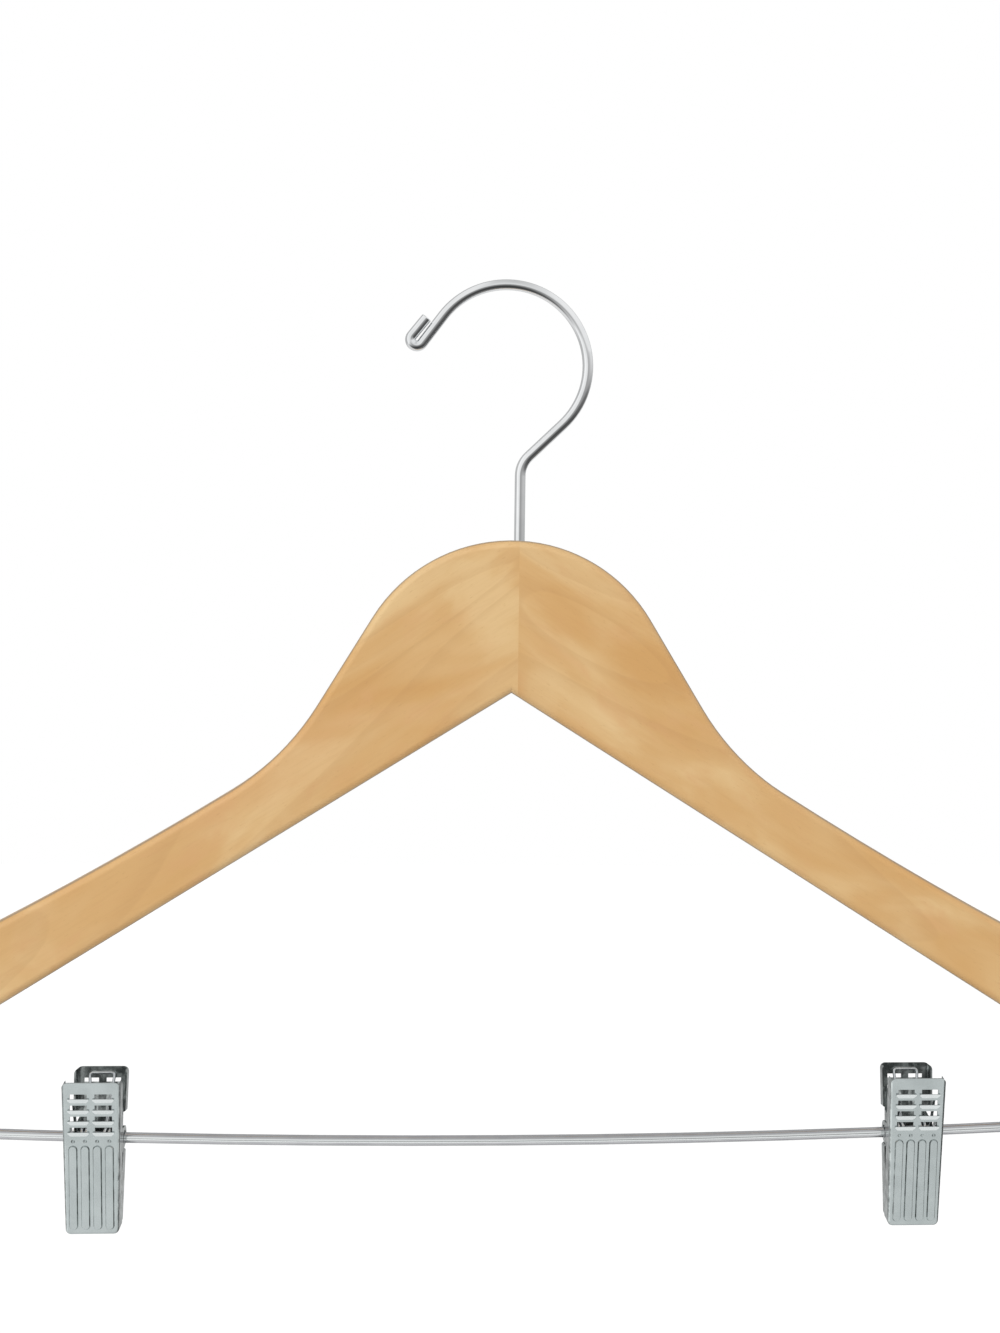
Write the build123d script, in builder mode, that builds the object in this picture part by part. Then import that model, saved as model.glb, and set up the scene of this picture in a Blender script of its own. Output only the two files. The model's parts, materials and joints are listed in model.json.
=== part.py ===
from build123d import *
import os
from math import acos, asin, atan2, ceil, cos, degrees, hypot, pi, radians, sin, sqrt, tan

os.makedirs("parts", exist_ok=True)

# A wooden skirt hanger: two arms glued together at the neck, a wire hook that turns in the
# neck, a steel bar let into the arms, and two sheet-metal clips that slide and swing on the
# bar. Millimetres and degrees. The origin is the centre of the hook's round, +X runs along
# the bar, -Y is the front and +Z is up. The arms and the bar have their middle a little to the
# right of the origin, and the seam with the hook's shank a little further.

# Shared by every cut and trim: how far it runs past the face that it clears
overrun = 4.0

# Wooden arms
arms_middle = 2.7         # right of the origin
arm_span = 445.0          # from tip to tip
wood_thickness = 12.0
wood_rounding = 2.5       # on every long edge
neck_drop = 58.8          # the neck's top, below the origin
crown_radius = 54.5       # round top of the neck
flank_angle = 58.7        # slope of the neck's sides
flank_length = 34.9
hollow_radius = 87.5      # hollow between the neck and the shoulder
shoulder_angle = 32.0     # slope where the shoulder starts
shoulder_radius = 1300.0  # the shoulder's long, nearly flat curve
notch_drop = 110.0        # point of the notch under the neck, below the origin
underside_angle = 32.0
tip_top_radius = 14.0
tip_bottom_radius = 12.0
seam_offset = 2.1         # the glued seam and the hook's bore stand right of the arms' middle
tongue_thickness = 4.0
tongue_depth = 5.0

# Wire hook
hook_wire = 3.6
round_radius = 27.15      # to the middle of the wire
lead_angle = 44.0         # slope of the straight from the shank to the round
leave_angle = 143.5       # where the round ends, counted from +X
nose_run = 11.6           # straight from the round to the hairpin
hairpin_radius = 2.1
hairpin_turn = 182.0
hairpin_return = 7.9
shank_bend = 9.0
wire_end_rounding = 0.4
shank_play = 0.05         # radial, in the neck's bore
end_float = 0.1           # between the washer and the wood

# Washer and nut under the neck
washer_radius = 3.7
washer_thickness = 0.6
nut_width = 6.0           # across its flats
nut_height = 2.8
nut_chamfer = 0.4
shank_past_nut = 0.6
nut_pocket_radius = 4.0
nut_pocket_depth = 5.0    # above the point of the notch

# Bar
bar_wire = 3.5
bar_drop = 261.9          # the bar's lowest point, below the origin
bow_radius = 4290.0       # the bar sags a little in the middle
bar_bend = 8.0
riser_inset = 27.5        # from a tip to the bar's upright end
riser_seat = 15.0         # depth of the bar's ends in the wood

# Clips: two pressed jaws each
left_clip_inset = 58.6    # from the bar's upright ends to the clips
right_clip_inset = 56.0
sheet = 0.6
jaw_lean = 5.6            # each jaw leans out at the top
plate_reach = 8.95        # from the bar's axis to a plate's outer face
jaw_above = 21.0          # plate above the bar
jaw_below = 31.0          # plate below the bar
jaw_top_width = 19.2
jaw_bottom_width = 17.45
nest_gap = 0.15           # each side, between the front jaw's flanges and the back jaw
sheet_bend = 1.0          # outer radius of a bend
top_corner = 2.0
bottom_corner = 1.8
lip_gap = 0.3             # between the closed lips
lip_height = 4.0          # upright stretch of the flanges, above the lips
mouth_width = 13.0        # between the flanges at the top
ear_radius = 3.7
ear_blend = 1.2
bar_play = 0.45           # radial, between the bar and the ears' holes
ear_inset = 1.4           # the back jaw's ears stand in from its flanges
ear_root = 5.0            # half the height of the back ears where they leave the plate
notch_half = 6.8          # half the height of the corner notches beside the back ears
notch_slope = 1.0

# Louvres above the bar
louvre_rows = 4
louvre_pitch = 3.77
louvre_middle = 10.05     # middle row line, above the bar
louvre_height = 3.0
louvre_slot = 1.5
louvre_rise = 0.65
louvre_sheet = 0.4        # the lip is drawn thinner than the sheet
louvre_cheek = 0.65       # from a lip's end to its slot
louvre_margin = 1.9
louvre_gap = 1.2
louvre_chamfer = 0.9

# Ribs below the bar
rib_count = 4
rib_top = 0.2             # below the bar
rib_bottom = 29.2
rib_rise = 0.55
rib_wall = 0.35
rib_taper = 30.0
rib_margin = 1.35
rib_gap = 1.0
dent_height = 1.1         # a small dent above each rib
dent_radius = 0.65
dent_floor = 0.25
dent_depth = 0.4

# Springs
spring_wire = 1.0
coil_play = 0.55          # radial, between the bar and the coil
coil_gap = 0.6            # between turns
coil_turns = 2            # whole turns, besides the part turn under the bar
coil_end_gap = 0.15       # between the coil and the back jaw's ears
seat_gap = 0.2            # between the legs and the plates
bridge_height = 19.0      # above the bar
bridge_width = 8.4
bridge_corner = 1.2
free_leg_height = 14.0
gap_samples = 600

# Worked out from the sizes above
half_span = arm_span / 2
seam_x = arms_middle + seam_offset
riser_x = half_span - riser_inset
riser_top = riser_seat - notch_drop - riser_x * tan(radians(underside_angle))
pocket_top = nut_pocket_depth - notch_drop
bar_radius = bar_wire / 2
hook_radius = hook_wire / 2
lean = radians(jaw_lean)
tray_depth = plate_reach + ear_radius + overrun
top_y = plate_reach + jaw_above * sin(lean)
top_z = jaw_above * cos(lean)
louvre_lip = louvre_height - louvre_slot


def finish(piece, name):
    """Name a piece and write its file."""
    piece.label = name
    export_step(piece, f"parts/{name}.step")


# The arms are one blank first: its outline, the rounded edges, the hook's bore with the
# pocket for the nut, and the blind holes for the bar.
arms_plane = Plane(origin=(arms_middle, 0, 0), x_dir=(1, 0, 0), z_dir=(0, -1, 0))

with BuildPart() as wood_blank:
    with BuildSketch(arms_plane):
        with BuildLine():
            crown = JernArc((0, -neck_drop), (1, 0), crown_radius, -flank_angle)
            flank = PolarLine(crown @ 1, flank_length, -flank_angle)
            hollow = JernArc(flank @ 1, flank % 1, hollow_radius, flank_angle - shoulder_angle)
            run_out = (half_span - (hollow @ 1).X) / shoulder_radius
            tip_angle = degrees(asin(sin(radians(shoulder_angle)) - run_out))
            shoulder = JernArc(hollow @ 1, hollow % 1, shoulder_radius, shoulder_angle - tip_angle)
            tip_foot = (half_span, -notch_drop - half_span * tan(radians(underside_angle)))
            Line(shoulder @ 1, tip_foot)
            Line(tip_foot, (0, -notch_drop))
            mirror(about=Plane.YZ)
        make_face()
    extrude(amount=wood_thickness / 2, both=True)
    for corner_place, corner_radius in ((-1, tip_top_radius), (0, tip_bottom_radius)):
        tips = wood_blank.edges().filter_by(Axis.Y).group_by(Axis.X)
        fillet([tip.sort_by(Axis.Z)[corner_place] for tip in (tips[0], tips[-1])], corner_radius)
    fillet(wood_blank.faces().filter_by(Axis.Y).edges(), wood_rounding)
    with Locations(Plane(origin=(seam_x, 0, pocket_top), z_dir=(0, 0, -1))):
        Hole(hook_radius + shank_play)
    with BuildSketch(Plane.XY.offset(pocket_top)):
        with Locations((seam_x, 0)):
            Circle(nut_pocket_radius)
    extrude(amount=-(nut_pocket_depth + half_span * tan(radians(underside_angle))), mode=Mode.SUBTRACT)
    for side in (-1, 1):
        riser_foot = (arms_middle + side * riser_x, 0, -bar_drop)
        with Locations(Plane(origin=riser_foot, z_dir=(0, 0, -1))):
            Hole(bar_radius, depth=bar_drop + riser_top)

# The seam has a glued tongue, cut on the right arm and let into the left one.
with BuildSketch() as right_of_seam:
    with Locations((seam_x, 0)):
        Rectangle(arm_span, wood_thickness + overrun, align=(Align.MIN, Align.CENTER))
        Rectangle(tongue_depth, tongue_thickness, align=(Align.MAX, Align.CENTER))

with BuildPart() as left_arm:
    add(wood_blank.part)
    extrude(right_of_seam.sketch, amount=arm_span, both=True, mode=Mode.SUBTRACT)
finish(left_arm.part, "left_arm")

with BuildPart() as right_arm:
    add(wood_blank.part)
    extrude(right_of_seam.sketch, amount=arm_span, both=True, mode=Mode.INTERSECT)
finish(right_arm.part, "right_arm")

# The hook: up the shank, over the bend, round from below and out to the hairpin.
washer_top = pocket_top - end_float
nut_top = washer_top - washer_thickness
shank_foot = nut_top - nut_height - shank_past_nut
lead = radians(lead_angle)
bend_run = shank_bend * tan((pi / 2 - lead) / 2)
bend_z = -round_radius / cos(lead) + seam_x * tan(lead)

with BuildPart() as hook:
    with BuildLine(Plane.XZ) as hook_path:
        shank = Line((seam_x, shank_foot), (seam_x, bend_z - bend_run))
        bend = JernArc(shank @ 1, shank % 1, shank_bend, lead_angle - 90)
        wire_round = CenterArc((0, 0), round_radius, lead_angle - 90, leave_angle - lead_angle + 90)
        Line(bend @ 1, wire_round @ 0)
        nose = PolarLine(wire_round @ 1, nose_run, leave_angle + 90)
        hairpin = JernArc(nose @ 1, nose % 1, hairpin_radius, -hairpin_turn)
        PolarLine(hairpin @ 1, hairpin_return, leave_angle + 90 - hairpin_turn)
    hook_line = hook_path.wires()[0]
    with BuildSketch(Plane(origin=hook_line @ 0, z_dir=hook_line % 0)):
        Circle(hook_radius)
    sweep(path=hook_line)
    fillet(hook.faces().filter_by(GeomType.PLANE).edges(), wire_end_rounding)
finish(hook.part, "hook")

with BuildPart() as hook_washer:
    with BuildSketch(Plane.XY.offset(washer_top)):
        with Locations((seam_x, 0)):
            Circle(washer_radius)
            Circle(hook_radius + shank_play, mode=Mode.SUBTRACT)
    extrude(amount=-washer_thickness)
finish(hook_washer.part, "hook_washer")

with BuildPart() as hook_nut:
    with BuildSketch(Plane.XY.offset(nut_top)):
        with Locations((seam_x, 0)):
            Circle(nut_width / sqrt(3))
    extrude(amount=-nut_height)
    chamfer(hook_nut.edges(), nut_chamfer)
    with BuildSketch(Plane.XY.offset(nut_top)):
        with Locations((seam_x, 0)):
            RegularPolygon(nut_width / 2, 6, major_radius=False)
            Circle(hook_radius, mode=Mode.SUBTRACT)
    extrude(amount=-nut_height, mode=Mode.INTERSECT)
finish(hook_nut.part, "hook_nut")

# The bar: a long shallow bow between two bends, with both ends upright in the wood.
bow_middle = bow_radius - bar_drop
bow_angle = degrees(asin((riser_x - bar_bend) / (bow_radius - bar_bend)))

with BuildPart() as skirt_bar:
    with BuildLine(arms_plane) as bar_path:
        bow = CenterArc((0, bow_middle), bow_radius, -90, bow_angle)
        bar_corner = JernArc(bow @ 1, bow % 1, bar_bend, 90 - bow_angle)
        Line(bar_corner @ 1, (riser_x, riser_top))
        mirror(about=Plane.YZ.offset(arms_middle))
    bar_line = bar_path.wires()[0]
    with BuildSketch(Plane(origin=bar_line @ 0, z_dir=bar_line % 0)):
        Circle(bar_radius)
    sweep(path=bar_line)
finish(skirt_bar.part, "skirt_bar")

# The jaws are modelled once, about the bar's axis, with the plate towards the front.
plate = Plane(origin=(0, -plate_reach, 0), x_dir=(1, 0, 0), z_dir=(0, -cos(lean), -sin(lean)))
back_inset = sheet + nest_gap


def half_width(height, inset):
    """Half of a jaw's width at a height along its plate."""
    taper = (jaw_top_width - jaw_bottom_width) / 2 / (jaw_above + jaw_below)
    return jaw_bottom_width / 2 + (height + jaw_below) * taper - inset


def tray_block(inset, skin):
    """A jaw's outer form, or with a skin its hollow, past the top and the open side."""
    foot, top = skin - jaw_below, jaw_above + overrun
    low, high = half_width(foot, inset) - skin, half_width(top, inset) - skin
    with BuildPart() as block:
        with BuildSketch(plate.offset(-skin)) as tray:
            Polygon((-low, foot), (low, foot), (high, top), (-high, top), align=None)
            fillet(tray.vertices().group_by(Axis.Y)[0], bottom_corner - skin)
        extrude(amount=-tray_depth)
        bends = block.faces().sort_by(Axis.Y)[0].edges().sort_by(Axis.Z)[:-1]
        fillet(bends, sheet_bend - skin)
    return block.part


def flange_side(with_ear):
    """What a jaw keeps of its flanges, seen along the bar."""
    with BuildSketch(Plane.YZ) as side:
        Polygon(
            (-mouth_width / 2, top_z),
            (-mouth_width / 2, top_z + overrun),
            (-top_y - overrun, top_z + overrun),
            (-top_y - overrun, -jaw_below - overrun),
            (-lip_gap / 2, -jaw_below - overrun),
            (-lip_gap / 2, lip_height - jaw_below),
            align=None,
        )
        if with_ear:
            Circle(ear_radius)
            Rectangle(plate_reach, 2 * ear_radius, align=(Align.MAX, Align.CENTER))
            for level in (-ear_radius, ear_radius):
                root = side.vertices().sort_by_distance((-plate_reach / 2, level))[0]
                fillet(root, ear_blend)
    return side.sketch


def louvre(width):
    """A louvre's raised lip, its foot at y = 0 and its open end up."""
    with BuildPart() as raised:
        with BuildSketch() as lip_outline:
            Rectangle(width, louvre_lip, align=(Align.CENTER, Align.MIN))
            chamfer(lip_outline.vertices().group_by(Axis.Y)[0], louvre_chamfer)
        extrude(amount=louvre_rise)
        extrude(lip_outline.sketch, amount=-louvre_sheet)
        with BuildSketch(Plane.YZ):
            Polygon(
                (0, 0),
                (louvre_lip, louvre_rise),
                (louvre_lip, -louvre_sheet),
                (0, -louvre_sheet),
                align=None,
            )
        extrude(amount=width, both=True, mode=Mode.INTERSECT)
    return raised.part


def louvre_space(width):
    """What is open under a louvre's lip and through its slot."""
    under = louvre_rise - louvre_sheet
    fall = (under + sheet + overrun) * louvre_lip / louvre_rise
    with BuildPart() as space:
        with BuildSketch(Plane.YZ):
            Polygon(
                (louvre_lip - fall, -sheet - overrun),
                (louvre_lip, under),
                (louvre_lip, louvre_rise + overrun),
                (louvre_height, louvre_rise + overrun),
                (louvre_height, -sheet - overrun),
                align=None,
            )
        extrude(amount=width / 2 - louvre_cheek, both=True)
    return space.part


def pressed_jaw(inset, with_ear):
    """One jaw: a tray of sheet, open at the top and towards the other jaw."""
    with BuildPart() as jaw:
        add(tray_block(inset, 0))
        add(tray_block(inset, sheet), mode=Mode.SUBTRACT)
        low, high = half_width(-jaw_below, inset), half_width(jaw_above, inset)
        with BuildSketch(plate) as outline:
            Polygon((-low, -jaw_below), (low, -jaw_below), (high, jaw_above), (-high, jaw_above), align=None)
            fillet(outline.vertices().group_by(Axis.Y)[-1], top_corner)
            fillet(outline.vertices().group_by(Axis.Y)[0], bottom_corner)
        extrude(amount=tray_depth, both=True, mode=Mode.INTERSECT)
        extrude(flange_side(with_ear), amount=jaw_top_width, both=True, mode=Mode.INTERSECT)

        # Two columns of louvres above the bar
        louvre_span = 2 * half_width(louvre_middle, inset) - 2 * louvre_margin
        louvre_width = (louvre_span - louvre_gap) / 2
        louvre_plane = plate.offset(0)
        louvre_plane.origin = plate.from_local_coords((0, louvre_middle - louvre_height / 2, 0))
        with Locations(louvre_plane):
            with GridLocations(louvre_width + louvre_gap, louvre_pitch, 2, louvre_rows):
                add(louvre(louvre_width))
        with Locations(louvre_plane):
            with GridLocations(louvre_width + louvre_gap, louvre_pitch, 2, louvre_rows):
                add(louvre_space(louvre_width), mode=Mode.SUBTRACT)

        # A row of hollow ribs below the bar, with a small dent above each
        rib_span = 2 * half_width(-jaw_below, inset) - 2 * rib_margin
        rib_width = (rib_span - (rib_count - 1) * rib_gap) / rib_count
        rib_length = rib_bottom - rib_top
        rib_middle = (rib_bottom + rib_top) / 2
        with BuildSketch(plate):
            with Locations((0, -rib_middle)):
                with GridLocations(rib_width + rib_gap, 0, rib_count, 1):
                    SlotOverall(rib_length, rib_width, rotation=90)
        extrude(amount=rib_rise, taper=rib_taper)
        with BuildSketch(plate.offset(-sheet)):
            with Locations((0, -rib_middle)):
                with GridLocations(rib_width + rib_gap, 0, rib_count, 1):
                    SlotOverall(rib_length - 2 * rib_wall, rib_width - 2 * rib_wall, rotation=90)
        extrude(amount=rib_rise, taper=rib_taper, mode=Mode.SUBTRACT)
        dent_plane = plate.offset(0)
        dent_plane.origin = plate.from_local_coords((0, dent_height, 0))
        with Locations(dent_plane):
            with GridLocations(rib_width + rib_gap, 0, rib_count, 1):
                Cone(
                    dent_floor,
                    dent_radius,
                    dent_depth,
                    align=(Align.CENTER, Align.CENTER, Align.MAX),
                    mode=Mode.SUBTRACT,
                )
    return jaw.part


with BuildPart() as front_jaw:
    add(pressed_jaw(0, True))
    with Locations(Plane.YZ):
        Hole(bar_radius + bar_play)

# The back jaw is narrower. Its corners are notched beside the bar, where its ears are bent
# in between the front jaw's.
ear_face = half_width(0, back_inset) - ear_inset
notch_foot = notch_half - notch_slope
notch_far = ear_inset + overrun

with BuildPart() as back_jaw:
    add(pressed_jaw(back_inset, False))
    with BuildSketch(plate):
        Polygon(
            (ear_face, -notch_foot),
            (ear_face + notch_far, -notch_foot - notch_slope * notch_far / ear_inset),
            (ear_face + notch_far, notch_foot + notch_slope * notch_far / ear_inset),
            (ear_face, notch_foot),
            align=None,
        )
        mirror(about=Plane.YZ)
    extrude(amount=tray_depth, both=True, mode=Mode.SUBTRACT)
    for ear_side in (-1, 1):
        with BuildSketch(Plane.YZ.offset(ear_side * ear_face)):
            with BuildLine():
                CenterArc((0, 0), ear_radius, 0, 360)
                Line(
                    (-plate_reach + sheet / 2 + ear_root * tan(lean), -ear_root),
                    (-plate_reach + sheet / 2 - ear_root * tan(lean), ear_root),
                )
            make_hull()
        extrude(amount=-ear_side * sheet)
    with Locations(Plane.YZ):
        Hole(bar_radius + bar_play)
    mirror(about=Plane.XZ, mode=Mode.REPLACE)

# The spring: two coils round the bar. Their inner ends rise as one bridged leg behind the
# back plate's face, and their outer ends rise as free legs behind the front plate's.
coil_radius = bar_radius + coil_play + spring_wire / 2
coil_pitch = spring_wire + coil_gap
coil_start = ear_face - sheet - coil_end_gap - spring_wire / 2


def leg_seat(height):
    """How far from the bar's axis a leg's centre line meets a plate."""
    return plate_reach + height * tan(lean) - (sheet + seat_gap + spring_wire / 2) / cos(lean)


def coil_angle(seat, height):
    """Where a leg that rises to its seat leaves the coil."""
    return atan2(height, seat) - acos(coil_radius / hypot(height, seat))


back_leave = coil_angle(leg_seat(bridge_height), bridge_height)
front_leave = pi - coil_angle(leg_seat(free_leg_height), free_leg_height)
coil_wrap = back_leave + 2 * pi * (1 + coil_turns) - front_leave


def coil_point(angle):
    """The coil's centre line, at an angle wound from the free leg."""
    turned = front_leave + angle
    across = coil_start - coil_pitch * angle / (2 * pi)
    return Vector(across, coil_radius * cos(turned), coil_radius * sin(turned))


def coil_direction(angle):
    """The way that the coil's centre line runs there."""
    turned = front_leave + angle
    drift = coil_pitch / (2 * pi)
    return Vector(-drift, -coil_radius * sin(turned), coil_radius * cos(turned)).normalized()


def biarc(start, start_way, end, end_way):
    """Two arcs that leave and arrive the ways given, and meet tangent to each other."""
    chord = end - start
    spread = start_way + end_way
    square = 2 * (1 - start_way.dot(end_way))
    cross = chord.dot(spread)
    reach = (sqrt(cross * cross + square * chord.dot(chord)) - cross) / square
    meeting = (start + end + (start_way - end_way) * reach) / 2
    first = TangentArc(start, meeting, tangent=start_way)
    return first, TangentArc(meeting, end, tangent=first % 1)


free_tip = Vector(coil_start, -leg_seat(free_leg_height), free_leg_height)
bridge_end = Vector(bridge_width / 2, leg_seat(bridge_height), bridge_height)
coil_in = coil_point(0)
coil_out = coil_point(coil_wrap)
leg_way = (bridge_end - coil_out).normalized()
across_way = Vector(-1, 0, 0)
corner_turn = acos(leg_way.dot(across_way))
corner_run = bridge_corner * tan(corner_turn / 2)
half_turns = ceil(coil_wrap / pi)

with BuildPart() as spring:
    with BuildLine() as spring_path:
        Line(free_tip, coil_in)
        way = (coil_in - free_tip).normalized()
        for step in range(half_turns):
            angle, next_angle = (coil_wrap * (step + more) / half_turns for more in (0, 1))
            next_way = coil_direction(next_angle) if step < half_turns - 1 else leg_way
            biarc(coil_point(angle), way, coil_point(next_angle), next_way)
            way = next_way
        Line(coil_out, bridge_end - leg_way * corner_run)
        corner = TangentArc(
            bridge_end - leg_way * corner_run,
            bridge_end + across_way * corner_run,
            tangent=leg_way,
        )
        Line(corner @ 1, (0, bridge_end.Y, bridge_end.Z))
        mirror(about=Plane.YZ)
    spring_line = spring_path.wires()[0]
    with BuildSketch(Plane(origin=spring_line @ 0, z_dir=spring_line % 0)):
        Circle(spring_wire / 2)
    sweep(path=spring_line)

# The spring's least gap to itself, between points more than three wires apart along it
samples = [spring_line @ (step / gap_samples) for step in range(gap_samples + 1)]
stride = spring_line.length / gap_samples
apart = ceil(3 * spring_wire / stride)
least = min(
    (samples[low] - samples[high]).length
    for low in range(len(samples))
    for high in range(low + apart, len(samples))
)
print(f"spring: wire {spring_line.length:.1f} mm long, least gap {least - spring_wire:.2f} mm")
solid_volume = pi * (spring_wire / 2) ** 2 * spring_line.length
print(f"spring: volume {spring.part.volume:.2f}, section times length {solid_volume:.2f}")

# Both clips hang on the bow, plumb, at their own places along it.
clip_pieces = {"front_jaw": front_jaw.part, "back_jaw": back_jaw.part, "spring": spring.part}
clip_places = {"left_clip": left_clip_inset - riser_x, "right_clip": riser_x - right_clip_inset}
for clip_name, along_bar in clip_places.items():
    clip_z = bow_middle - sqrt(bow_radius ** 2 - along_bar ** 2)
    for piece_name, piece in clip_pieces.items():
        with BuildPart() as hung:
            with Locations((arms_middle + along_bar, 0, clip_z)):
                add(piece)
        finish(hung.part, f"{clip_name}_{piece_name}")
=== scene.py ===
# %% [markdown]
# A wooden skirt hanger: two maple arms glued at the neck, a chromed wire hook that turns in the
# neck, a steel bar between the arms, and two sprung sheet-metal clips on the bar.
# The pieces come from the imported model, each at its real size and place, in metres, with +Z up
# and the front towards -Y. This file gives them their finishes, winds the clips' springs as
# real wire, and sets up the camera and the studio.

# %% Load the frame
import json
from functools import partial
from math import acos, atan2, ceil, cos, hypot, pi, radians, sin, tan

import bpy
from mathutils import Matrix, Vector


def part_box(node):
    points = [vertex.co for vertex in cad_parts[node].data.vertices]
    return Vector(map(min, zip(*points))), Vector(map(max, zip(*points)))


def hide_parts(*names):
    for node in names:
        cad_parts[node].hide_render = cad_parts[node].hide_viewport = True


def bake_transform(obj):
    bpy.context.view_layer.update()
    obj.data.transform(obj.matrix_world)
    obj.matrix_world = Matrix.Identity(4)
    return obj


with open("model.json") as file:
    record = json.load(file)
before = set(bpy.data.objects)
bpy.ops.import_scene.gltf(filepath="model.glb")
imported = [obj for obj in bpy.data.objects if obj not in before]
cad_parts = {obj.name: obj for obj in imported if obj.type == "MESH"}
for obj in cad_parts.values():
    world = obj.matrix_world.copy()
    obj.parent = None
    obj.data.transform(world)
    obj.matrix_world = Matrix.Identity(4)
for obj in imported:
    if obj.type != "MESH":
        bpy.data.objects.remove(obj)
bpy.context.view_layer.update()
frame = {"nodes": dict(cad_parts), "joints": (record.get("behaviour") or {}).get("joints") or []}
nodes = frame["nodes"]
joints = {joint["name"]: joint for joint in frame["joints"]}
millimetre = 0.001
print("nodes:", ", ".join(sorted(nodes)))

# %% [markdown]
# A finish is a small graph of shader nodes. It could be drawn by hand in the shader editor, but
# as code it can be read from top to bottom and made again. The first helper makes a node and
# fills its sockets, each with a value or with the output of another node.

# %% Helper that makes a node


def add_node(tree, kind, sockets=None, **settings):
    """Make a shader node. Each socket gets a value, or the output that feeds it."""
    node = tree.nodes.new("ShaderNode" + kind)
    for name, value in settings.items():
        setattr(node, name, value)
    for name, value in (sockets or {}).items():
        if isinstance(value, bpy.types.NodeSocket):
            tree.links.new(value, node.inputs[name])
        else:
            node.inputs[name].default_value = value
    return node


print("one helper makes every node")

# %% [markdown]
# The next helpers are the sums that come back in every graph: one result of two numbers, a soft
# step from 0 to 1, and two levels or two colours mixed by a share. A soft step is used wherever
# one look passes into another, because nothing on the real hanger has a hard border.

# %% Helpers for sums and mixtures


def calculate(tree, operation, first, second=0.0):
    """The result of one sum on two numbers, each a value or an output."""
    return add_node(tree, "Math", {0: first, 1: second}, operation=operation).outputs["Value"]


def soft_step(tree, value, low, high):
    """0 below low, 1 above high, and a smooth rise between; high may be the smaller one."""
    sockets = {"Value": value, "From Min": low, "From Max": high}
    return add_node(tree, "MapRange", sockets, interpolation_type="SMOOTHSTEP").outputs["Result"]


def mix_levels(tree, share, first, second):
    """Two numbers mixed by a share: 0 gives the first, 1 the second."""
    return add_node(tree, "Mix", {"Factor": share, 2: first, 3: second}).outputs[0]


def mix_colours(tree, share, first, second):
    """Two colours mixed by a share: 0 gives the first, 1 the second."""
    return add_node(tree, "Mix", {"Factor": share, 6: first, 7: second}, data_type="RGBA").outputs[2]


def stain(tree, colour, other, share, strength):
    """Lay another colour over a colour, as thickly as the share and the strength say."""
    return mix_colours(tree, calculate(tree, "MULTIPLY", share, strength), colour, other)


print("helpers for sums and mixtures are ready")

# %% [markdown]
# Colours are easiest to judge as a screen shows them, from 0 to 255. A shader counts in light
# instead, where a mid grey is much darker than half, so each colour is turned into light once.
# The numbers in the helper are those of the curve that all screens share.

# %% Helper for colours
dark_end = 0.04045       # below this share a screen's curve is a straight line


def screen_colour(red, green, blue):
    """A colour as the screen shows it, turned into linear light."""
    light = []
    for value in (red, green, blue):
        share = value / 255
        light.append(share / 12.92 if share <= dark_end else ((share + 0.055) / 1.055) ** 2.4)
    return (*light, 1.0)


print("a screen's mid grey of 128 is a light of", round(screen_colour(128, 128, 128)[0], 3))

# %% [markdown]
# The camera stands where the photographer stood: 0.65 m in front of the hanger, level with its
# neck, and turned a little to the right and down. The hanger leaned by less than a degree on its
# hook, which is the same as a small roll of the camera. The picture was cropped afterwards, so
# the middle of its frame isn't the middle of the lens, and the shift makes up for that. Turning
# the camera further instead would slant the picture and stretch one side of the hanger.

# %% Camera
camera_place = Vector((-0.0101, -0.6454, -0.0684))
turn_right = radians(3.96)
tilt_down = radians(0.89)
roll = radians(0.77)
lens_length = 68.84
sensor_width = 36.0
crop_shift = (-0.1067, -0.0665)  # shares of the frame's width

camera_data = bpy.data.cameras.new("camera")
camera_data.sensor_fit = "HORIZONTAL"
camera_data.sensor_width = sensor_width
camera_data.lens = lens_length
camera_data.shift_x, camera_data.shift_y = crop_shift
camera = bpy.data.objects.new("camera", camera_data)
level_way = Vector((sin(turn_right), cos(turn_right), 0))
look_ahead = level_way * cos(tilt_down) - Vector((0, 0, sin(tilt_down)))
facing = look_ahead.to_track_quat("-Z", "Y").to_matrix().to_4x4()
camera.matrix_world = Matrix.Translation(camera_place) @ facing @ Matrix.Rotation(roll, 4, "Z")
bpy.context.scene.collection.objects.link(camera)
bpy.context.scene.camera = camera
bpy.context.scene.view_settings.view_transform = "Standard"
print("camera at", tuple(round(v, 3) for v in camera_place), "lens", lens_length, "mm")

# %% [markdown]
# Polished wire shows nothing but what it mirrors, so the walls of the studio matter as much as
# its lamps. They could be real cards, set up round the hanger. A world whose level depends on
# the direction does the same, and there is nothing to set up. Each level is looked up by a
# place on a ramp, so the first thing needed is a ramp with as many stops as it takes.

# %% Ramp of levels


def ramp_between(tree, value, stops):
    """A level for each value from -1 to 1, blended between the stops."""
    share = add_node(tree, "MapRange", {"Value": value, "From Min": -1.0, "From Max": 1.0})
    curve = add_node(tree, "FloatCurve", {"Value": share.outputs["Result"]})
    points = curve.mapping.curves[0].points
    highest = max(level for _, level in stops)
    while len(points) < len(stops):
        points.new(0.5, 0.5)
    for point, (place, level) in zip(points, stops):
        point.location = ((place + 1) / 2, level / highest)
        point.handle_type = "VECTOR"
    curve.mapping.update()
    return calculate(tree, "MULTIPLY", curve.outputs["Value"], highest)


print("ramp helper ready")

# %% [markdown]
# Two ramps hold the greys that a mirror sees, one by the way to the right and one by the height,
# and their product is the front of the studio. It is bright overhead and dark low in front, and
# that dark band is the line along the lower side of each wire. The band rises towards the
# right. On the left a brighter wall leans in, which is the pale stripe down the hook.

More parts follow.
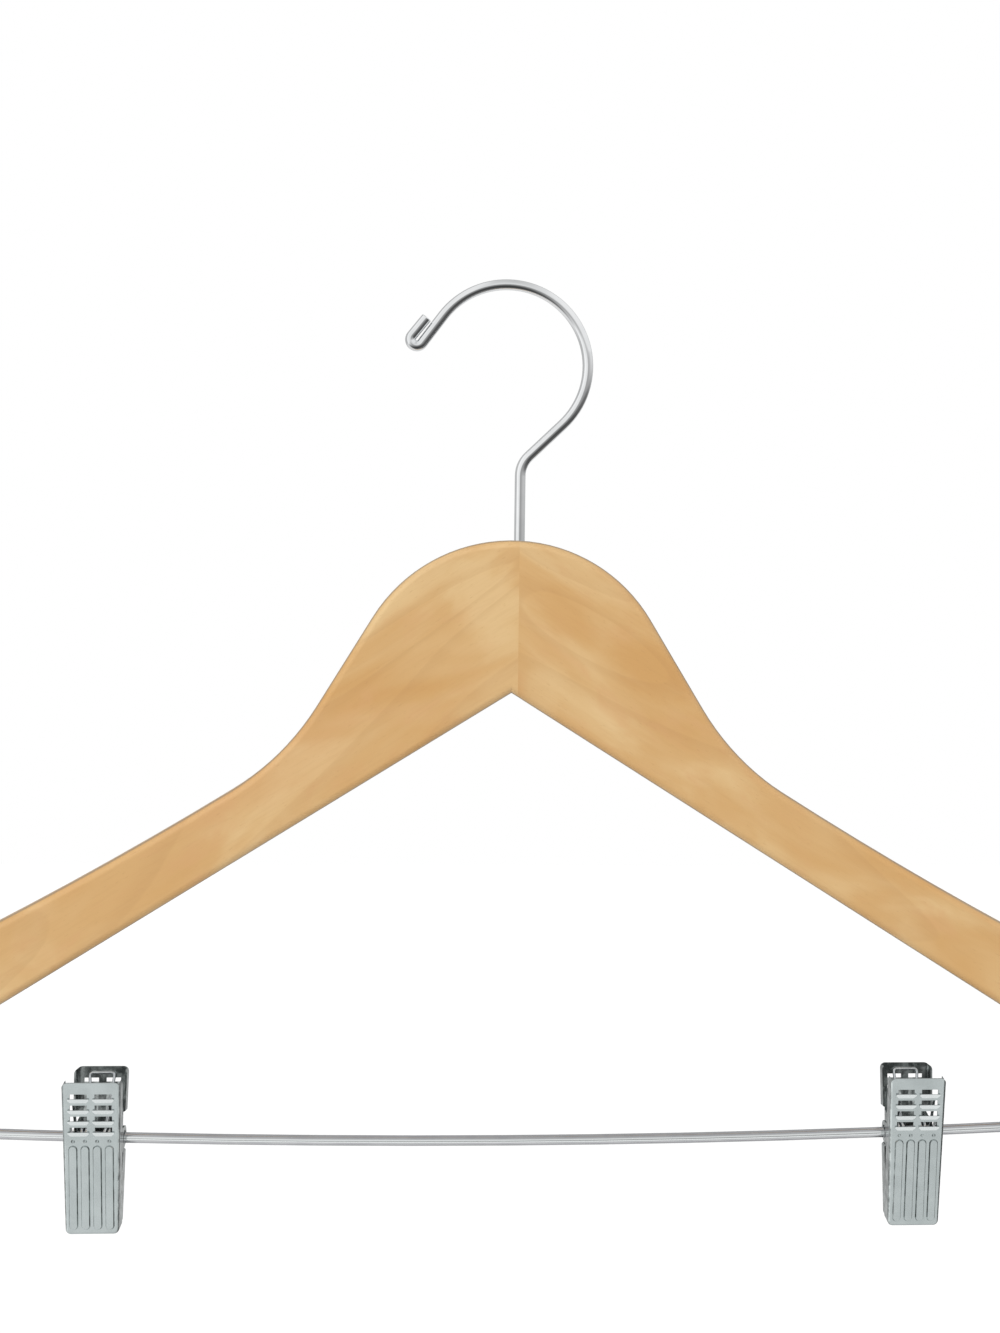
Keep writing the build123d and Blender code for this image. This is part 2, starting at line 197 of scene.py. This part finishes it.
# %% World in front
side_greys = (           # way to the right, from -1 to 1, and the level there
    (-1.0, 1.0), (-0.7, 0.95), (-0.5, 0.78), (-0.3, 0.55),
    (-0.1, 0.38), (0.1, 0.34), (0.5, 0.46), (1.0, 0.80),
)
height_greys = (         # way up, from -1 to 1, and the level there
    (-1.0, 0.45), (-0.90, 0.22), (-0.72, 0.11), (-0.45, 0.22), (-0.14, 0.80),
    (0.04, 1.05), (0.14, 2.0), (0.3, 2.2), (1.0, 1.7),
)
band_slope = -0.25       # how the heights' ramp tilts from left to right
brightest_front = 0.86
left_wall_lean = -1.2
left_wall_edge = (0.0, -0.45)
brightest_left = 1.0

world = bpy.data.worlds.new("studio")
bpy.context.scene.world = world
world.use_nodes = True
air = world.node_tree
air.nodes.clear()
way = add_node(air, "SeparateXYZ", {0: add_node(air, "TexCoord").outputs["Generated"]}).outputs


def leaning(value, other, lean):
    """One way's share with a part of another way's share added, which tilts its levels."""
    return calculate(air, "ADD", value, calculate(air, "MULTIPLY", other, lean))


walls = ramp_between(air, way["X"], side_greys)
heights = ramp_between(air, leaning(way["Z"], way["X"], band_slope), height_greys)
front = calculate(air, "MINIMUM", calculate(air, "MULTIPLY", walls, heights), brightest_front)
on_left = soft_step(air, leaning(way["X"], way["Z"], left_wall_lean), *left_wall_edge)
left_wall = calculate(air, "MINIMUM", calculate(air, "MULTIPLY", walls, on_left), brightest_left)
front = calculate(air, "MAXIMUM", front, left_wall)
print("front of the studio:", len(side_greys), "greys sideways and", len(height_greys), "by height")

# %% [markdown]
# Behind the hanger the wall mirrors as a soft grey, which draws the thin outline round a wire,
# and the floor below it mirrors lighter. The border between front and back runs slantwise.
# What a ray gets then depends on what it is for. The camera sees plain white, a mirror sees the
# greys, and a matt surface gets one even level, so that the mirrors' greys don't shade the wood.

# %% World behind, and who sees what
wall_behind = 0.52
floor_behind = 0.75
floor_rise = (-0.5, -0.2)        # between these heights the floor passes into the wall
front_turn = -0.5
front_lean = -0.3
front_edge = (0.40, 0.10)
matt_level = 0.47
white = 1.0

behind_levels = {
    "From Min": floor_rise[0],
    "From Max": floor_rise[1],
    "To Min": floor_behind,
    "To Max": wall_behind,
}
behind = add_node(air, "MapRange", {"Value": way["Z"], **behind_levels}).outputs["Result"]
depth = leaning(leaning(way["Y"], way["X"], front_turn), way["Z"], front_lean)
mirrored = mix_levels(air, soft_step(air, depth, *front_edge), behind, front)
rays = add_node(air, "LightPath").outputs
clear_view = calculate(air, "MAXIMUM", rays["Is Camera Ray"], rays["Is Transmission Ray"])
level = mix_levels(air, rays["Is Glossy Ray"], matt_level, mirrored)
level = mix_levels(air, clear_view, level, white)
air_light = add_node(air, "Background", {"Color": (1, 1, 1, 1), "Strength": level})
add_node(air, "OutputWorld", {"Surface": air_light.outputs["Background"]})
print("world: matt surfaces get a level of", matt_level)

# %% [markdown]
# Two lamps light the hanger. The first is a broad, soft one, high in front and a little to the
# left. An area lamp would be brighter near its middle, but a sun with a wide angle is equally
# bright everywhere, so the floor stays even. Mirrors don't see it, because its disc would be a
# hard white spot in the chrome.

# %% Softbox
softbox_way = Vector((-0.30, -0.74, 0.60))
softbox_strength = 1.9
softbox_spread = 55.0            # degrees

softbox_data = bpy.data.lights.new("softbox", "SUN")
softbox_data.energy = softbox_strength
softbox_data.angle = radians(softbox_spread)
softbox = bpy.data.objects.new("softbox", softbox_data)
softbox.rotation_euler = softbox_way.to_track_quat("Z", "Y").to_euler()
softbox.visible_glossy = False
bpy.context.scene.collection.objects.link(softbox)
print("softbox of strength", softbox_strength)

# %% [markdown]
# The second lamp lies low in front and shines straight up. It stands for a pale table top,
# which throws light back at the metal just above it. The bar and the clips are bright from
# below, and no lamp from above could do that.

# %% Table light
table_place = (0.0, -0.26, -0.38)
table_size = (0.64, 0.48)
table_power = 0.80               # watts

table_data = bpy.data.lights.new("table", "AREA")
table_data.shape = "RECTANGLE"
table_data.size, table_data.size_y = table_size
table_data.energy = table_power
table = bpy.data.objects.new("table", table_data)
table.location = table_place
table.rotation_euler = (pi, 0, 0)
table.visible_camera = False
bpy.context.scene.collection.objects.link(table)
print("table light of", table_size[0], "by", table_size[1], "m")

# %% [markdown]
# The floor is plain and pale, and lies well below the hanger, which hangs from its hook. Paint
# alone would come out a little greyer than the white walls. A faint glow that only the camera
# sees makes the two meet without a line, and the floor keeps its shadow.

# %% Floor
floor_drop = 1.10
floor_reach = 6.0
floor_grey = 0.90
floor_roughness = 0.9
floor_glow = 0.30

corners = ((-1, -1), (1, -1), (1, 1), (-1, 1))
floor_corners = [(x * floor_reach, y * floor_reach, -floor_drop) for x, y in corners]
floor_mesh = bpy.data.meshes.new("floor")
floor_mesh.from_pydata(floor_corners, [], [(0, 1, 2, 3)])
floor = bpy.data.objects.new("floor", floor_mesh)
floor.visible_glossy = False
bpy.context.scene.collection.objects.link(floor)
floor_paint = bpy.data.materials.new("floor_paint")
floor_paint.use_nodes = True
paint_tree = floor_paint.node_tree
floor_shader = paint_tree.nodes["Principled BSDF"]
floor_shader.inputs["Base Color"].default_value = (floor_grey, floor_grey, floor_grey, 1)
floor_shader.inputs["Roughness"].default_value = floor_roughness
floor_shader.inputs["Emission Color"].default_value = (1, 1, 1, 1)
seen = add_node(paint_tree, "LightPath").outputs["Is Camera Ray"]
glow = calculate(paint_tree, "MULTIPLY", seen, floor_glow)
paint_tree.links.new(glow, floor_shader.inputs["Emission Strength"])
floor_mesh.materials.append(floor_paint)
print("floor", floor_drop, "m below the hook's round")

# %% [markdown]
# Every finish of the hanger starts from one Principled shader and gets its pattern from smooth
# noise, counted in metres on the piece. A picture of wood or metal would repeat and would have
# to be wrapped round each form, while noise is there at every place, at its real size. Stretched
# far along one way it makes fibres, and evenly it makes clouds.

# %% Helpers for a finish
no_turn = 0.0


def new_finish(name, **sockets):
    """A material with one Principled shader. Sockets are named with underscores for spaces."""
    material = bpy.data.materials.new(name)
    material.use_nodes = True
    tree = material.node_tree
    tree.nodes.clear()
    values = {socket.replace("_", " "): value for socket, value in sockets.items()}
    shader = add_node(tree, "BsdfPrincipled", values)
    add_node(tree, "OutputMaterial", {"Surface": shader.outputs["BSDF"]})
    return material, tree, shader


def place_on_piece(tree, turn, size, middle=(0, 0, 0)):
    """Places counted from middle, turned about Y, in lengths of size."""
    place = add_node(tree, "TexCoord").outputs["Object"]
    sockets = {"Vector": place, "Location": middle, "Rotation": (0, turn, 0), "Scale": size}
    return add_node(tree, "Mapping", sockets, vector_type="TEXTURE").outputs["Vector"]


def noise(tree, turn, size, detail=2.0, roughness=0.5, distortion=0.0):
    """Smooth noise whose blots are about as long, deep and high as size."""
    sockets = {
        "Vector": place_on_piece(tree, turn, size),
        "Scale": 1.0,
        "Detail": detail,
        "Roughness": roughness,
        "Distortion": distortion,
    }
    return add_node(tree, "TexNoise", sockets).outputs["Fac"]


def direction_of_surface(tree):
    """Which way the surface faces: its shares along X, Y and Z."""
    return add_node(tree, "SeparateXYZ", {0: add_node(tree, "TexCoord").outputs["Normal"]}).outputs


print("finish helpers ready")

# %% [markdown]
# Maple is a quiet wood. Its colour drifts between pale straw and a warmer orange in long blots
# along the arm, with smaller reddish blots between. The grain follows each arm, so it rises to
# the right on the left arm and falls on the right one, and the two meet at the seam.

# %% Wood: drifting colour
arm_slope = radians(32)
straw = screen_colour(225, 191, 138)
honey = screen_colour(214, 172, 115)
amber = screen_colour(208, 160, 98)
blush = screen_colour(214, 166, 113)
long_blots = {"size": (0.060, 0.020, 0.020), "detail": 3.0, "roughness": 0.55, "distortion": 0.8}
straw_until, honey_at, amber_from = 0.26, 0.50, 0.74
reddish_blots = {"size": (0.018, 0.010, 0.008), "detail": 3.0, "roughness": 0.6, "distortion": 0.5}
reddish_edge = (0.48, 0.72)
reddish_strength = 0.50


def drifting_colour(tree, turn):
    """Straw, honey and amber in long blots along the grain, and blush in smaller ones."""
    tone = add_node(tree, "ValToRGB", {"Fac": noise(tree, turn, **long_blots)})
    stops = tone.color_ramp.elements
    stops[0].position, stops[0].color = straw_until, straw
    stops[1].position, stops[1].color = amber_from, amber
    stops.new(honey_at).color = honey
    reddish = soft_step(tree, noise(tree, turn, **reddish_blots), *reddish_edge)
    return stain(tree, tone.outputs["Color"], blush, reddish, reddish_strength)


print("grain at", round(arm_slope, 3), "radians to the bar")

# %% [markdown]
# Round the seam a few larger patches of paler or warmer wood tell the two arms apart. They could
# be painted on the mesh by hand. Here each one is a soft ball, flattened across the grain and
# made ragged by noise, so a patch is just a colour, a place, a size and a strength.

# %% Wood: patches at the neck
ragged_rim = {"size": (0.014, 0.008, 0.006), "detail": 3.0, "roughness": 0.6, "distortion": 0.4}
rim_depth = 0.9
patch_edge = (1.45, 0.75)
left_patches = (
    (straw, (-0.006, 0, -0.078), (0.016, 1, 0.028), 0.85),
    (straw, (-0.032, 0, -0.075), (0.022, 1, 0.010), 0.55),
    (blush, (-0.075, 0, -0.135), (0.050, 1, 0.014), 0.35),
)
right_patches = (
    (amber, (0.020, 0, -0.083), (0.020, 1, 0.010), 0.55),
    (amber, (0.050, 0, -0.100), (0.024, 1, 0.013), 0.95),
    (straw, (0.013, 0, -0.110), (0.010, 1, 0.013), 0.55),
    (straw, (0.030, 0, -0.073), (0.022, 1, 0.008), 0.45),
)


def lay_patches(tree, turn, colour, patches):
    """Lay patches on the wood. A size is along the grain, through the arm and across."""
    ragged = calculate(tree, "MULTIPLY", noise(tree, turn, **ragged_rim), rim_depth)
    for patch, middle, size, strength in patches:
        place = place_on_piece(tree, turn, size, middle)
        far = add_node(tree, "VectorMath", {0: place}, operation="LENGTH").outputs["Value"]
        share = soft_step(tree, calculate(tree, "ADD", far, ragged), *patch_edge)
        colour = stain(tree, colour, patch, share, strength)
    return colour


print("patches:", len(left_patches), "on the left arm and", len(right_patches), "on the right")

# %% [markdown]
# Growth rings show as faint lines, because maple's late wood is only a little darker. They are
# made as the height lines of a map are: one slow noise, cut into equal steps, with a darker
# line at the end of each step. Fine fibres and short flecks run along the grain between them.

# %% Wood: rings, fibres and flecks
ring_brown = screen_colour(180, 130, 78)
slow_rise = {"size": (0.26, 0.030, 0.040), "detail": 1.0, "roughness": 0.5, "distortion": 0.5}
ring_steps = 8.0
late_wood_grows = (0.55, 0.93)
late_wood_ends = (1.0, 0.95)
ring_strength = 0.14
fine_fibres = {"size": (0.012, 0.0008, 0.0008), "detail": 3.0, "roughness": 0.65, "distortion": 0.3}
fibre_edge = (0.46, 0.74)
fibre_strength = 0.09
short_flecks = {"size": (0.0026, 0.0005, 0.0005), "detail": 1.0}
fleck_edge = (0.66, 0.76)
fleck_strength = 0.25


def lay_grain(tree, turn, colour, fibres):
    """Rings, fibres and flecks, all in one darker brown."""
    steps = calculate(tree, "MULTIPLY", noise(tree, turn, **slow_rise), ring_steps)
    step = calculate(tree, "FRACT", steps)
    growth = soft_step(tree, step, *late_wood_grows)
    late_wood = calculate(tree, "MULTIPLY", growth, soft_step(tree, step, *late_wood_ends))
    colour = stain(tree, colour, ring_brown, late_wood, ring_strength)
    colour = stain(tree, colour, ring_brown, soft_step(tree, fibres, *fibre_edge), fibre_strength)
    flecks = soft_step(tree, noise(tree, turn, **short_flecks), *fleck_edge)
    return stain(tree, colour, ring_brown, flecks, fleck_strength)


print("rings in", ring_steps, "steps")

# %% [markdown]
# The narrow edges get painted shade: a greyer brown, strongest where they round over and turn
# away from the front. They need no mask drawn by hand, because the surface itself says where it
# is: it faces forwards or back on the flat sides, and turns away at the edges.

# %% Wood: painted shade on the edges
# Painted shade: the greyer brown laid on the edges that turn away from the front.
edge_shade_grey = screen_colour(150, 128, 100)
rounding = (0.72, 0.34)          # how much of the surface's direction is along Y
narrow_side = (-0.12, 0.22)
edge_shade_strength = 0.85


def paint_edge_shade(tree, colour):
    """Paint shade in a greyer brown on the rounded edges, and a little on the narrow sides between them."""
    flat = calculate(tree, "ABSOLUTE", direction_of_surface(tree)["Y"])
    round_over = soft_step(tree, flat, *rounding)
    edge = calculate(tree, "MULTIPLY", round_over, soft_step(tree, flat, *narrow_side))
    return stain(tree, colour, edge_shade_grey, edge, edge_shade_strength)


# The grey on the edges is painted shade.
print("edges sanded with a strength of", edge_shade_strength)

# %% [markdown]
# A satin lacquer lies over the wood: a thin coat that is smoother than the wood under it. Pores
# and fibres are far too small for a mesh, so a bump follows the fibres, and the shine breaks up
# with them. Each arm is dressed with its grain turned along it.

# %% Dress both arms
lacquer = {"Coat_Weight": 0.30, "Coat_Roughness": 0.25}
wood_shine = {"To Min": 0.36, "To Max": 0.50}
pores = {"Strength": 0.25, "Distance": 0.03 * millimetre}


def wood_finish(name, turn, patches):
    """Lacquered maple with its grain turned about Y, and patches of other colours on it."""
    material, tree, shader = new_finish(name, **lacquer)
    fibres = noise(tree, turn, **fine_fibres)
    colour = lay_patches(tree, turn, drifting_colour(tree, turn), patches)
    colour = paint_edge_shade(tree, lay_grain(tree, turn, colour, fibres))
    roughness = add_node(tree, "MapRange", {"Value": fibres, **wood_shine}).outputs["Result"]
    bump = add_node(tree, "Bump", {"Height": fibres, **pores}).outputs["Normal"]
    tree.links.new(colour, shader.inputs["Base Color"])
    tree.links.new(roughness, shader.inputs["Roughness"])
    tree.links.new(bump, shader.inputs["Normal"])
    return material


def give_finish(node_name, material):
    """Dress a node of the frame in a material."""
    piece = nodes[node_name]
    piece.data.materials.clear()
    piece.data.materials.append(material)


give_finish("left_arm", wood_finish("maple_left", -arm_slope, left_patches))
give_finish("right_arm", wood_finish("maple_right", arm_slope, right_patches))
print("wood: two arms")

# %% [markdown]
# The metals are all plated steel and differ in polish. The hook is bright chrome, the bar is
# drawn rod with a softer nickel plate, and the clips are pressed from zinc-plated sheet, with
# the cloudy look that plating leaves and fine scuffs from handling. A metal's colour is its
# mirror's tint, and its roughness says how blurred the mirror is, so one recipe serves all of
# them. Where a piece gets painted light or shade of its own, that is laid over the clouds.

# %% Plated steel
cloud_edge = (0.30, 0.70)
scuff_range = {"From Min": 0.3, "From Max": 0.7}
scuff_bump = 0.3


def plated_finish(name, light, dark, blot, polish, scuff_size, scuff_depth, metal=1.0, painted_light=None):
    """Plated steel: clouded between two colours, its roughness wandering within polish."""
    material, tree, shader = new_finish(name, Metallic=metal)
    clouds = noise(tree, no_turn, (blot, blot, blot), detail=3.0, roughness=0.6)
    colour = mix_colours(tree, soft_step(tree, clouds, *cloud_edge), light, dark)
    # Painted light or shade of the piece's own, laid over the clouds.
    if painted_light:
        colour = painted_light(tree, colour)
    scuffs = noise(tree, no_turn, scuff_size, detail=4.0, roughness=0.7)
    sockets = {"Value": scuffs, **scuff_range, "To Min": polish[0], "To Max": polish[1]}
    roughness = add_node(tree, "MapRange", sockets).outputs["Result"]
    sockets = {"Height": scuffs, "Strength": scuff_bump, "Distance": scuff_depth}
    bump = add_node(tree, "Bump", sockets).outputs["Normal"]
    tree.links.new(colour, shader.inputs["Base Color"])
    tree.links.new(roughness, shader.inputs["Roughness"])
    tree.links.new(bump, shader.inputs["Normal"])
    return material


print("one recipe for every plated piece")

# %% [markdown]
# The hook is the brightest piece and the smoothest, and its few scuffs run along the shank. It
# could share one chrome with the nut and the washer, but those sit hidden in the neck and are
# sold in plain zinc, which is duller.

# %% Hook, nut and washer
hook_chrome = plated_finish(
    "hook_chrome",
    light=screen_colour(248, 249, 250),
    dark=screen_colour(238, 240, 241),
    blot=0.012,
    polish=(0.02, 0.06),
    scuff_size=(0.0012, 0.0012, 0.006),
    scuff_depth=0.0002 * millimetre,
)
nut_zinc = plated_finish(
    "nut_zinc",
    light=screen_colour(205, 208, 210),
    dark=screen_colour(182, 186, 189),
    blot=0.002,
    polish=(0.25, 0.40),
    scuff_size=(0.0006, 0.0006, 0.0006),
    scuff_depth=0.003 * millimetre,
)
give_finish("hook", hook_chrome)
give_finish("hook_washer", nut_zinc)
give_finish("hook_nut", nut_zinc)
print("hook in chrome, nut and washer in zinc")

# %% [markdown]
# Along the bar the clips slide and turn. Its front gets a painted highlight: a paler band of
# colour. The band could be a second strip of metal on the mesh. It is found by the way that the
# surface faces instead, from just below level to a little above it, so that it fades out at both
# sides.

# %% Bar
# Painted highlight: a paler colour laid on the bar's level band and on the jaws' lips.
painted_highlight = screen_colour(240, 244, 244)
highlight_band_foot = (-0.25, 0.0)
highlight_band_head = (0.55, 0.30)


def paint_level_highlight(tree, colour):
    """Paint a highlight on the band of a bar that faces about level."""
    rise = direction_of_surface(tree)["Z"]
    band = calculate(tree, "MULTIPLY", soft_step(tree, rise, *highlight_band_foot), soft_step(tree, rise, *highlight_band_head))
    return mix_colours(tree, band, colour, painted_highlight)


bar_steel = plated_finish(
    "bar_steel",
    light=screen_colour(196, 197, 199),
    dark=screen_colour(187, 188, 191),
    blot=0.010,
    polish=(0.07, 0.11),
    scuff_size=(0.012, 0.0006, 0.0006),
    scuff_depth=0.0005 * millimetre,
    metal=0.95,
    painted_light=paint_level_highlight,
)
give_finish("skirt_bar", bar_steel)
# The band along the bar's front is a painted highlight.
print("bar in drawn steel, rubbed along its front")

# %% [markdown]
# A jaw is a tray of pressed sheet. Inside the tray and on its walls its colour is painted
# darker and mottled, as painted shade. The lips of the louvres stand out and get a painted
# highlight. Both are found from the surface's direction, and the lips also by their height,
# because they are only above the bar. The two jaws face opposite ways, so each gets its own
# copy of the finish.

# %% Clip jaws
# Painted shade: the darker, mottled colours laid inside the tray and on its walls.
painted_shade_dark = screen_colour(112, 117, 116)
painted_shade_light = screen_colour(186, 192, 191)
mottles = {"size": (0.0022, 0.0022, 0.0035), "detail": 2.0, "roughness": 0.5, "distortion": 0.6}
mottle_edge = (0.36, 0.66)
hidden_edge = (-0.30, 0.20)
wall_edge = (0.25, 0.65)
wall_strength = 0.85
lip_edge = (-0.35, -0.60)
bar_height = joints["left_clip_open"]["pos_m"][2]
above_bar = (bar_height - 2 * millimetre, bar_height + 2 * millimetre)


def paint_tray_light_and_shade(tree, colour, hidden_way):
    """Painted highlight on the lips, and painted shade inside the tray, which faces +Y (1) or -Y (-1)."""
    surface = direction_of_surface(tree)
    height = add_node(tree, "SeparateXYZ", {0: add_node(tree, "TexCoord").outputs["Object"]}).outputs["Z"]
    # Painted highlight on the lips of the louvres, which face down above the bar.
    lip = soft_step(tree, surface["Z"], *lip_edge)
    lip = calculate(tree, "MULTIPLY", lip, soft_step(tree, height, *above_bar))
    colour = mix_colours(tree, lip, colour, painted_highlight)
    # Painted shade inside the tray and on its walls.
    hidden = soft_step(tree, calculate(tree, "MULTIPLY", surface["Y"], hidden_way), *hidden_edge)
    wall = soft_step(tree, calculate(tree, "ABSOLUTE", surface["X"]), *wall_edge)
    shade_share = calculate(tree, "MAXIMUM", hidden, calculate(tree, "MULTIPLY", wall, wall_strength))
    mottle = soft_step(tree, noise(tree, no_turn, **mottles), *mottle_edge)
    return mix_colours(tree, shade_share, colour, mix_colours(tree, mottle, painted_shade_dark, painted_shade_light))


for jaw, hidden_way in (("front", 1), ("back", -1)):
    clip_plate = plated_finish(
        f"clip_plate_{jaw}",
        light=screen_colour(191, 199, 199),
        dark=screen_colour(181, 189, 189),
        blot=0.009,
        polish=(0.15, 0.21),
        scuff_size=(0.0009, 0.0009, 0.0030),
        scuff_depth=0.0003 * millimetre,
        metal=0.97,
        painted_light=partial(paint_tray_light_and_shade, hidden_way=hidden_way),
    )
    for side in ("left", "right"):
        give_finish(f"{side}_clip_{jaw}_jaw", clip_plate)
print("four jaws in zinc-plated sheet, with bright lips above", round(bar_height, 4), "m")

# %% [markdown]
# Each clip closes by a double torsion spring: one wire, wound twice round the bar on each side.
# The two inner ends rise as one bridged leg inside the back jaw, and the two outer ends rise as
# free legs inside the front jaw. Coils could be stacked from rings, but a real spring is one
# wire, so its line is worked out and a round is swept along it once. Both sides are alike, so
# one half of the line is enough, and the other half is its mirror image.

# %% Spring line
spring_wire = 1.0 * millimetre
coil_radius = 2.8 * millimetre
coil_pitch = 1.6 * millimetre
coil_turns = 2
bridge_width = 8.4 * millimetre
bridge_corner = 1.2 * millimetre
free_leg_height = 14.0 * millimetre
steps_per_turn = 28
corner_steps = 6
full_turn = 2 * pi


def leg_angle(seat, height):
    """Where a leg that rises to its seat leaves the coil."""
    return atan2(height, seat) - acos(coil_radius / hypot(height, seat))


def coil(half_width, start, wrap):
    """The coil's points, from its outer end inwards."""
    steps = ceil(steps_per_turn * wrap / full_turn)
    points = []
    for step in range(steps + 1):
        angle = wrap * step / steps
        across = half_width - coil_pitch * angle / full_turn
        around = start + angle
        points.append(Vector((across, coil_radius * cos(around), coil_radius * sin(around))))
    return points


def bent_corner(before, corner):
    """A leg's bend into the bridge, which runs on along -X."""
    leg_way = (corner - before).normalized()
    bridge_way = Vector((-1, 0, 0))
    run = bridge_corner * tan(acos(leg_way.dot(bridge_way)) / 2)
    leave, arrive = corner - leg_way * run, corner + bridge_way * run
    points = []
    for step in range(corner_steps + 1):
        share = step / corner_steps
        points.append(leave * (1 - share) ** 2 + corner * 2 * share * (1 - share) + arrive * share ** 2)
    return points


def spring_half(low, high, pivot):
    """One half of the wire, from the free leg's tip to the middle of the bridge."""
    half_width = (high.x - low.x - spring_wire) / 2
    bridge_seat = high.y - pivot.y - spring_wire / 2
    bridge_height = high.z - pivot.z - spring_wire / 2
    free_seat = pivot.y - low.y - spring_wire / 2
    start = pi - leg_angle(free_seat, free_leg_height)
    wrap = leg_angle(bridge_seat, bridge_height) + full_turn * (1 + coil_turns) - start
    points = [Vector((half_width, -free_seat, free_leg_height))]
    points += coil(half_width, start, wrap)
    points += bent_corner(points[-1], Vector((bridge_width / 2, bridge_seat, bridge_height)))
    return points + [Vector((0, bridge_seat, bridge_height))]


print("spring wire of", spring_wire / millimetre, "mm, coils of radius", coil_radius / millimetre, "mm")

# %% [markdown]
# A curve with a round bevel is the plainest way to sweep a wire: the line becomes a poly spline,
# and Blender draws a tube along it. The tube is then kept as a mesh. Spring wire is steel too,
# duller than the jaws.

# %% Spring wire
ring_points = 20                 # corners round the wire

spring_steel = plated_finish(
    "spring_steel",
    light=screen_colour(214, 218, 220),
    dark=screen_colour(190, 194, 197),
    blot=0.003,
    polish=(0.14, 0.22),
    scuff_size=(0.001, 0.001, 0.001),
    scuff_depth=0.002 * millimetre,
)


def wire_along(name, points, thickness, material):
    """A round wire of one mesh, swept along points, with flat ends."""
    curve = bpy.data.curves.new(name, "CURVE")
    curve.dimensions = "3D"
    curve.bevel_depth = thickness / 2
    curve.bevel_resolution = ring_points // 2 - 2
    curve.use_fill_caps = True
    spline = curve.splines.new("POLY")
    spline.points.add(len(points) - 1)
    for point, place in zip(spline.points, points):
        point.co = (*place, 1)
    drawn = bpy.data.objects.new(name, curve)
    mesh = bpy.data.meshes.new_from_object(drawn)
    bpy.data.objects.remove(drawn)
    wire = bpy.data.objects.new(name, mesh)
    mesh.materials.clear()
    mesh.materials.append(material)
    mesh.shade_smooth()
    bpy.context.scene.collection.objects.link(wire)
    return wire


print("wire with", ring_points, "corners round it")

# %% [markdown]
# A spring bends when its clip opens, which a rigid piece can't do. The wound wire takes the
# place of the plain one, which is hidden.

# %% Wind both springs
springs = []
for side in ("left", "right"):
    pivot = Vector(joints[f"{side}_clip_open"]["pos_m"])
    low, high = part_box(f"{side}_clip_spring")
    half = spring_half(low, high, pivot)
    other = [Vector((-point.x, point.y, point.z)) for point in reversed(half[:-1])]
    line = [pivot + point for point in half + other]
    spring = wire_along(f"{side}_spring_wire", line, spring_wire, spring_steel)
    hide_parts(f"{side}_clip_spring")
    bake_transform(spring)
    springs.append(spring)
    length = sum((b - a).length for a, b in zip(line, line[1:]))
    print(f"{side} spring: {length / millimetre:.1f} mm of wire, {len(spring.data.vertices)} points")

# %% [markdown]
# The light that a table throws back reaches only what hangs just above it. A lamp falls off too
# slowly for that and would also light the wood's lower edges, so light linking keeps it to the
# bar, the jaws and their springs.

# %% What the table lights
low_metal = bpy.data.collections.new("low_metal")
jaws = [f"{side}_clip_{jaw}_jaw" for side in ("left", "right") for jaw in ("front", "back")]
for piece in [nodes[name] for name in ("skirt_bar", *jaws)] + springs:
    low_metal.objects.link(piece)
table.light_linking.receiver_collection = low_metal
